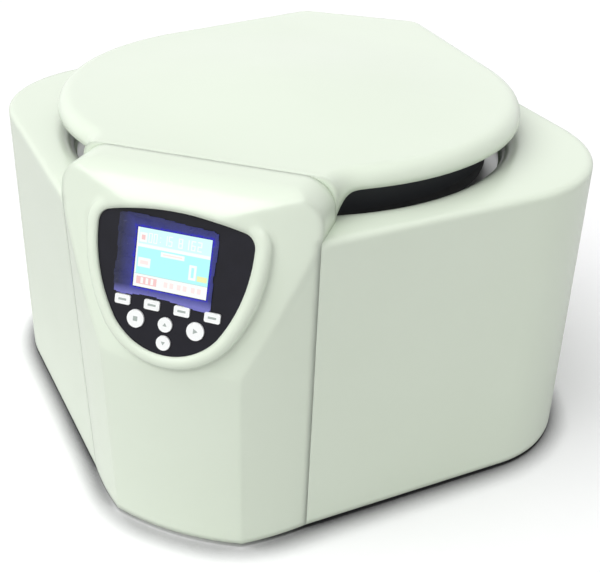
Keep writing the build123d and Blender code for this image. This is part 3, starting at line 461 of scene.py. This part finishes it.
crease_size = 5 * mm
leak_start = 0.5 * mm
leak_end = 14 * mm
low_strip_height = 7
loose_film, tree = new_material("loose_clear_film")
place = add_node(tree, "ShaderNodeTexCoord")
flat = add_node(
    tree, "ShaderNodeMapping",
    {
        "vector_type": "TEXTURE", "Location": on_panel(0, screen_middle, 0),
        "Rotation": (pi / 2 - panel_tilt, 0, 0),
    },
    {"Vector": place.outputs["Object"]},
)
apart = add_node(tree, "ShaderNodeSeparateXYZ", links={0: flat.outputs[0]})
sides = []
for axis, half in ((0, screen_half_width), (1, screen_half_height)):
    size = add_node(tree, "ShaderNodeMath", {"operation": "ABSOLUTE"}, {0: apart.outputs[axis]})
    sides.append(add_node(
        tree, "ShaderNodeMath", {"operation": "SUBTRACT", 1: half * mm}, {0: size.outputs[0]}
    ))
border = add_node(
    tree, "ShaderNodeMath", {"operation": "MAXIMUM"},
    {0: sides[0].outputs[0], 1: sides[1].outputs[0]},
)
creases = add_node(
    tree, "ShaderNodeTexNoise", {"Scale": 1 / crease_size, "Detail": 4.0, "Distortion": 1.2},
    {"Vector": place.outputs["Object"]},
)
wander = add_node(
    tree, "ShaderNodeMath",
    {"operation": "MULTIPLY_ADD", 1: crease_size, 2: -crease_size / 2},
    {0: creases.outputs["Fac"]},
)
# Painted light: the film is coloured brightest blue next to the lit screen, as if the screen's light
# leaked through it
painted_leak = add_node(
    tree, "ShaderNodeMath", {"operation": "ADD"}, {0: border.outputs[0], 1: wander.outputs[0]}
)
share = add_node(
    tree, "ShaderNodeMapRange", {"From Min": leak_start, "From Max": leak_end},
    {"Value": painted_leak.outputs[0]},
)
colours = add_node(tree, "ShaderNodeValToRGB", links={"Fac": share.outputs["Result"]})
stops = colours.color_ramp.elements
stops[0].position = 0.0
stops[0].color = linear("#1613B4")
stops[1].position = 1.0
stops[1].color = linear("#1A1E40")
violet = stops.new(0.16)
violet.color = linear("#2A2E78")
low_strip = add_node(
    tree, "ShaderNodeMapRange",
    {
        "From Min": -screen_half_height * mm,
        "From Max": -(screen_half_height + low_strip_height) * mm,
    },
    {"Value": apart.outputs[1]},
)
tinted = add_node(
    tree, "ShaderNodeMix", {"data_type": "RGBA", 7: linear("#6B6BB4")},
    {0: low_strip.outputs["Result"], 6: colours.outputs["Color"]},
)
clear = add_node(
    tree, "ShaderNodeMapRange", {"From Min": 0.0, "From Max": 0.6 * mm}, {"Value": border.outputs[0]}
)
bump = add_node(
    tree, "ShaderNodeBump", {"Strength": 0.7, "Distance": 0.8 * mm},
    {"Height": creases.outputs["Fac"]},
)
# The film gives off a faint painted glow of its own colour, though it is no lamp
sheet = add_node(
    tree, "ShaderNodeBsdfPrincipled",
    {"Roughness": 0.14, "IOR": 1.5, "Emission Strength": 0.12},
    {
        "Base Color": tinted.outputs[2], "Emission Color": tinted.outputs[2],
        "Normal": bump.outputs[0],
    },
)
gap = add_node(tree, "ShaderNodeBsdfTransparent")
mix = add_node(
    tree, "ShaderNodeMixShader",
    links={0: clear.outputs["Result"], 1: gap.outputs[0], 2: sheet.outputs[0]},
)
add_node(tree, "ShaderNodeOutputMaterial", links={"Surface": mix.outputs[0]})
film_piece = link_piece("loose_film", film_mesh, "frame", "film", loose_film)
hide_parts("screen_film")


# Keys: white satin plastic caps that stand out of the black panel, with a moulded grain drawn
# 1.2 mm across. Their marks are plain bars, arrows, a square and a triangle in pale grey print.
def grained(name, code, roughness, grain_mm, detail, strength, depth_mm, more):
    # One colour, under a noise grain_mm across that moves the surface by depth_mm
    material, tree = new_material(name)
    place = add_node(tree, "ShaderNodeTexCoord")
    grain = add_node(
        tree, "ShaderNodeTexNoise", {"Scale": 1 / (grain_mm * mm), "Detail": detail},
        {"Vector": place.outputs["Object"]},
    )
    bump = add_node(
        tree, "ShaderNodeBump", {"Strength": strength, "Distance": depth_mm * mm},
        {"Height": grain.outputs["Fac"]},
    )
    surface = add_node(
        tree, "ShaderNodeBsdfPrincipled",
        {"Base Color": linear(code), "Roughness": roughness, **more},
        {"Normal": bump.outputs[0]},
    )
    add_node(tree, "ShaderNodeOutputMaterial", links={"Surface": surface.outputs[0]})
    return material


key_white = grained(
    "satin_white_key_plastic", "#F7F9F8", 0.38, 1.2, 1.0, 0.2, 0.02, {"IOR": 1.5}
)
key_print, tree = new_material("pale_grey_key_print")
ink = add_node(
    tree, "ShaderNodeBsdfPrincipled", {"Base Color": linear("#A9B3AE"), "Roughness": 0.5}
)
add_node(tree, "ShaderNodeOutputMaterial", links={"Surface": ink.outputs[0]})

key_height = 1.4
print_lift = 0.02
key_face = panel_face + key_height + print_lift
large_key_x = 26.8
soft_key_pitch = 26.7
soft_row = 30.3
upper_row = 16.2
lower_row = 0.6
bar_mark = [(-3.6, -0.9), (3.6, -0.9), (3.6, 0.9), (-3.6, 0.9)]
square_mark = [(-2, -2), (2, -2), (2, 2), (-2, 2)]
triangle_mark = [(-1.7, -2.3), (2.4, 0), (-1.7, 2.3)]
up_mark = [(-1.9, -1.2), (1.9, -1.2), (0, 1.8)]
down_mark = [(-1.9, 1.2), (0, -1.8), (1.9, 1.2)]
key_marks = {
    "large_key_left": (-large_key_x, upper_row, square_mark),
    "large_key_right": (large_key_x, upper_row, triangle_mark),
    "small_key_upper": (0, upper_row, up_mark),
    "small_key_lower": (0, lower_row, down_mark),
}
for number in range(4):
    key_marks[f"soft_key_{number + 1}"] = ((number - 1.5) * soft_key_pitch, soft_row, bar_mark)
for key, (x, t, outline) in key_marks.items():
    finish(key_white, key)
    mark = bmesh.new()
    mark.faces.new([mark.verts.new(on_panel(x + dx, t + dt, key_face)) for dx, dt in outline])
    mark_mesh = bpy.data.meshes.new(f"mark_{key}")
    mark.to_mesh(mark_mesh)
    mark.free()
    link_piece(f"mark_{key}", mark_mesh, f"{key}_body", "white_key", key_print)


# Under the lid: a dark moulded liner with a fine spark-eroded texture, 0.8 mm across, and a
# black rubber seal round it that closes the bowl. The drive's mounts, the feet and the cups'
# cushions are of the same rubber, whose bloom greys it in patches.
liner_dark = grained(
    "textured_dark_polypropylene", "#26282C", 0.6, 0.8, 3.0, 0.5, 0.04, {"IOR": 1.49}
)
finish(liner_dark, "lid_liner")

bloom_size = 9 * mm
black_rubber, tree = new_material("moulded_black_rubber")
place = add_node(tree, "ShaderNodeTexCoord")
bloom = add_node(
    tree, "ShaderNodeTexNoise", {"Scale": 1 / bloom_size, "Detail": 5.0},
    {"Vector": place.outputs["Object"]},
)
tint = add_node(
    tree, "ShaderNodeMix", {"data_type": "RGBA", 6: linear("#17181A"), 7: linear("#2B2C2D")},
    {0: bloom.outputs["Fac"]},
)
rubber = add_node(
    tree, "ShaderNodeBsdfPrincipled", {"Roughness": 0.72, "IOR": 1.52},
    {"Base Color": tint.outputs[2]},
)
add_node(tree, "ShaderNodeOutputMaterial", links={"Surface": rubber.outputs[0]})
finish(black_rubber, "lid_seal", "shaft_seal", "dampers", "feet")
for number in range(1, 5):
    finish(black_rubber, f"cushion_{number}")


# Bowl and cups: stainless steel, spun on a lathe. The tool leaves rings about 1 mm apart round
# the machine's axis, which stretch its highlights.
ring_pitch = 1.0 * mm
spun_steel, tree = new_material("spun_stainless_steel")
place = add_node(tree, "ShaderNodeTexCoord")
apart = add_node(tree, "ShaderNodeSeparateXYZ", links={0: place.outputs["Object"]})
plan = add_node(tree, "ShaderNodeCombineXYZ", links={0: apart.outputs[0], 1: apart.outputs[1]})
radius = add_node(
    tree, "ShaderNodeVectorMath", {"operation": "LENGTH"}, {0: plan.outputs[0]}
)
along = add_node(
    tree, "ShaderNodeCombineXYZ", links={0: radius.outputs["Value"], 2: apart.outputs[2]}
)
rings = add_node(
    tree, "ShaderNodeTexNoise", {"Scale": 1 / ring_pitch, "Detail": 2.0},
    {"Vector": along.outputs[0]},
)
bump = add_node(
    tree, "ShaderNodeBump", {"Strength": 0.35, "Distance": 0.02 * mm},
    {"Height": rings.outputs["Fac"]},
)
steel = add_node(
    tree, "ShaderNodeBsdfPrincipled",
    {"Base Color": linear("#C9CACA"), "Metallic": 1.0, "Roughness": 0.30},
    {"Normal": bump.outputs[0]},
)
add_node(tree, "ShaderNodeOutputMaterial", links={"Surface": steel.outputs[0]})
finish(spun_steel, "bowl", "cup_1", "cup_2", "cup_3", "cup_4")


# Rotor and drive: an anodised aluminium cross on a ground steel shaft, over a cast motor in grey
# paint on a zinc-plated plate. Each metal keeps the mark of how it was cut, cast or plated.
def metal(name, code, metallic, roughness, pattern_mm, depth_mm):
    return grained(
        name, code, roughness, pattern_mm, 3.0, 0.4, depth_mm, {"Metallic": metallic}
    )


anodised = metal("clear_anodised_aluminium", "#CFD1D2", 1.0, 0.38, 0.5, 0.01)
ground_steel = metal("ground_steel", "#BFC0C1", 1.0, 0.22, 0.4, 0.005)
zinc_plate = metal("bright_zinc_plate", "#B9BDBE", 1.0, 0.34, 3.0, 0.02)
grey_casting = metal("painted_iron_casting", "#3C4146", 0.0, 0.45, 2.0, 0.12)
guard_paint = metal("powder_coated_guard_steel", "#55585A", 0.0, 0.5, 1.0, 0.05)
brass_plate = metal("plated_brass_blade", "#C9A961", 1.0, 0.25, 0.5, 0.004)
finish(anodised, "rotor_cross", "hinge_arms", "hinge_blocks")
finish(ground_steel, "rotor_shaft", "trunnion_pins", "hinge_pins", "lid_striker", "lock_bolt")
finish(zinc_plate, "base_pan", "motor_plate", "damper_posts", "board_standoffs", "mains_filter",
       "lock_actuator", "lock_bracket", "screen_module")
finish(grey_casting, "motor")
finish(guard_paint, "guard_ring")
finish(brass_plate, "inlet_pins")


# Black moulded fittings: the rotor's nut, the lock's case, the mains inlet and the switch, in
# glass-filled nylon with a fine matt grain.
black_nylon = grained(
    "glass_filled_black_nylon", "#1B1B1D", 0.5, 0.7, 3.0, 0.4, 0.03, {"IOR": 1.53}
)
finish(black_nylon, "rotor_nut", "lock_housing", "mains_inlet", "switch_housing", "power_rocker")


# Boards and heater: green solder mask over woven glass, with a weave of 0.5 mm, and an orange
# silicone mat bonded round the bowl.
weave_size = 0.5 * mm
solder_mask, tree = new_material("green_solder_mask")
place = add_node(tree, "ShaderNodeTexCoord")
weave = add_node(
    tree, "ShaderNodeTexChecker",
    {"Scale": 1 / weave_size, "Color1": linear("#0F4A2C"), "Color2": linear("#135536")},
    {"Vector": place.outputs["Object"]},
)
mask = add_node(
    tree, "ShaderNodeBsdfPrincipled", {"Roughness": 0.3}, {"Base Color": weave.outputs["Color"]}
)
add_node(tree, "ShaderNodeOutputMaterial", links={"Surface": mask.outputs[0]})
finish(solder_mask, "key_board", "drive_board")

silicone_mat = grained("orange_silicone_mat", "#B4552E", 0.6, 1.5, 1.0, 0.5, 0.1, {})
finish(silicone_mat, "heater_band")


# Back plate: folded sheet steel in ivory powder coat, whose hammered texture is about 1.5 mm
# across. Louvres and the inlet's cut-out are punched in it.
powder_coat = grained("ivory_powder_coat", "#DDE4D6", 0.48, 1.5, 2.0, 0.6, 0.06, {})
finish(powder_coat, "rear_panel")


# Screws: zinc-plated cross-head screws hold the back plate and the base pan. One tree makes the
# head with its cross recess and sets a copy at every hole.
slot_length_share = 1.15
slot_rise_share = 0.45
screw_tree = bpy.data.node_groups.new("cross_head_screws", "GeometryNodeTree")
for name, kind in (("Holes", "NodeSocketGeometry"), ("Head radius", "NodeSocketFloat"),
                   ("Head height", "NodeSocketFloat"), ("Slot width", "NodeSocketFloat"),
                   ("Finish", "NodeSocketMaterial")):
    screw_tree.interface.new_socket(name, in_out="INPUT", socket_type=kind)
screw_tree.interface.new_socket("Screws", in_out="OUTPUT", socket_type="NodeSocketGeometry")
given = add_node(screw_tree, "NodeGroupInput")
head = add_node(
    screw_tree, "GeometryNodeMeshCylinder", {"Vertices": 32},
    {"Radius": given.outputs["Head radius"], "Depth": given.outputs["Head height"]},
)
reach = add_node(
    screw_tree, "ShaderNodeMath", {"operation": "MULTIPLY", 1: slot_length_share},
    {0: given.outputs["Head radius"]},
)
arms = []
for order in ((0, 1), (1, 0)):
    size = add_node(screw_tree, "ShaderNodeCombineXYZ", links={
        order[0]: reach.outputs[0], order[1]: given.outputs["Slot width"],
        2: given.outputs["Head height"],
    })
    arms.append(add_node(screw_tree, "GeometryNodeMeshCube", links={"Size": size.outputs[0]}))
cross = add_node(
    screw_tree, "GeometryNodeMeshBoolean", {"operation": "UNION", "solver": "EXACT"}
)
for arm in arms:
    screw_tree.links.new(arm.outputs["Mesh"], cross.inputs["Mesh 2"])
rise = add_node(
    screw_tree, "ShaderNodeMath", {"operation": "MULTIPLY", 1: slot_rise_share},
    {0: given.outputs["Head height"]},
)
raised = add_node(screw_tree, "ShaderNodeCombineXYZ", links={2: rise.outputs[0]})
lifted_cross = add_node(
    screw_tree, "GeometryNodeTransform",
    links={"Geometry": cross.outputs["Mesh"], "Translation": raised.outputs[0]},
)
recessed = add_node(
    screw_tree, "GeometryNodeMeshBoolean", {"operation": "DIFFERENCE", "solver": "EXACT"},
    {"Mesh 1": head.outputs["Mesh"], "Mesh 2": lifted_cross.outputs["Geometry"]},
)
facing = add_node(
    screw_tree, "GeometryNodeInputNamedAttribute", {"data_type": "FLOAT_VECTOR", "Name": "facing"}
)
aim = add_node(
    screw_tree, "FunctionNodeAlignRotationToVector", {"axis": "Z"},
    {"Vector": facing.outputs["Attribute"]},
)
placed = add_node(
    screw_tree, "GeometryNodeInstanceOnPoints",
    links={
        "Points": given.outputs["Holes"], "Instance": recessed.outputs["Mesh"],
        "Rotation": aim.outputs["Rotation"],
    },
)
real = add_node(
    screw_tree, "GeometryNodeRealizeInstances", links={"Geometry": placed.outputs["Instances"]}
)
plated = add_node(
    screw_tree, "GeometryNodeSetMaterial",
    links={"Geometry": real.outputs["Geometry"], "Material": given.outputs["Finish"]},
)
add_node(screw_tree, "NodeGroupOutput", links={"Screws": plated.outputs["Geometry"]})


def grown(name, tree, points, facing, values):
    # The mesh that the tree makes at these points, with its modifier gone
    base = bpy.data.meshes.new(name)
    base.from_pydata(points, [], [])
    base.attributes.new("facing", "FLOAT_VECTOR", "POINT").data.foreach_set(
        "vector", [c for _ in points for c in facing]
    )
    host = bpy.data.objects.new(name, base)
    scene.collection.objects.link(host)
    modifier = host.modifiers.new("grow", "NODES")
    modifier.node_group = tree
    for item in tree.interface.items_tree:
        if item.in_out == "INPUT" and item.name in values:
            modifier[item.identifier] = values[item.name]
    bpy.context.view_layer.update()
    mesh = bpy.data.meshes.new_from_object(
        host.evaluated_get(bpy.context.evaluated_depsgraph_get())
    )
    host.modifiers.remove(modifier)
    bpy.data.objects.remove(host)
    mesh.name = name
    return mesh


screw_height = 1.8
screw_radius = 4.0
slot_width = 1.1
screw_sizes = {
    "Head radius": screw_radius * mm, "Head height": screw_height * mm,
    "Slot width": slot_width * mm, "Finish": zinc_plate,
}
back_low, back_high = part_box("rear_panel_screws")
plate_x = (back_high[0] - back_low[0]) / 2 - screw_radius * mm
plate_bottom = back_low[2] + screw_radius * mm
plate_top = back_high[2] - screw_radius * mm
back_holes = [
    (x * plate_x, back_high[1] - screw_height * mm / 2, z)
    for x in (-1, 1) for z in (plate_bottom, (plate_bottom + plate_top) / 2, plate_top)
]
back_screws = link_piece(
    "back_plate_screws",
    grown("back_plate_screws", screw_tree, back_holes, (0, 1, 0), screw_sizes),
    "frame", "zinc",
)
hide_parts("rear_panel_screws")
pan_low, pan_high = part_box("pan_screws")
pan_screw_places = ((150, -205), (250, -100), (250, 60), (120, 225))
pan_holes = [
    (side * x * mm, y * mm, (pan_low[2] + pan_high[2]) / 2)
    for side in (-1, 1) for x, y in pan_screw_places
]
under_screws = link_piece(
    "base_pan_screws",
    grown("base_pan_screws", screw_tree, pan_holes, (0, 0, -1), screw_sizes),
    "frame", "zinc",
)
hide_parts("pan_screws")
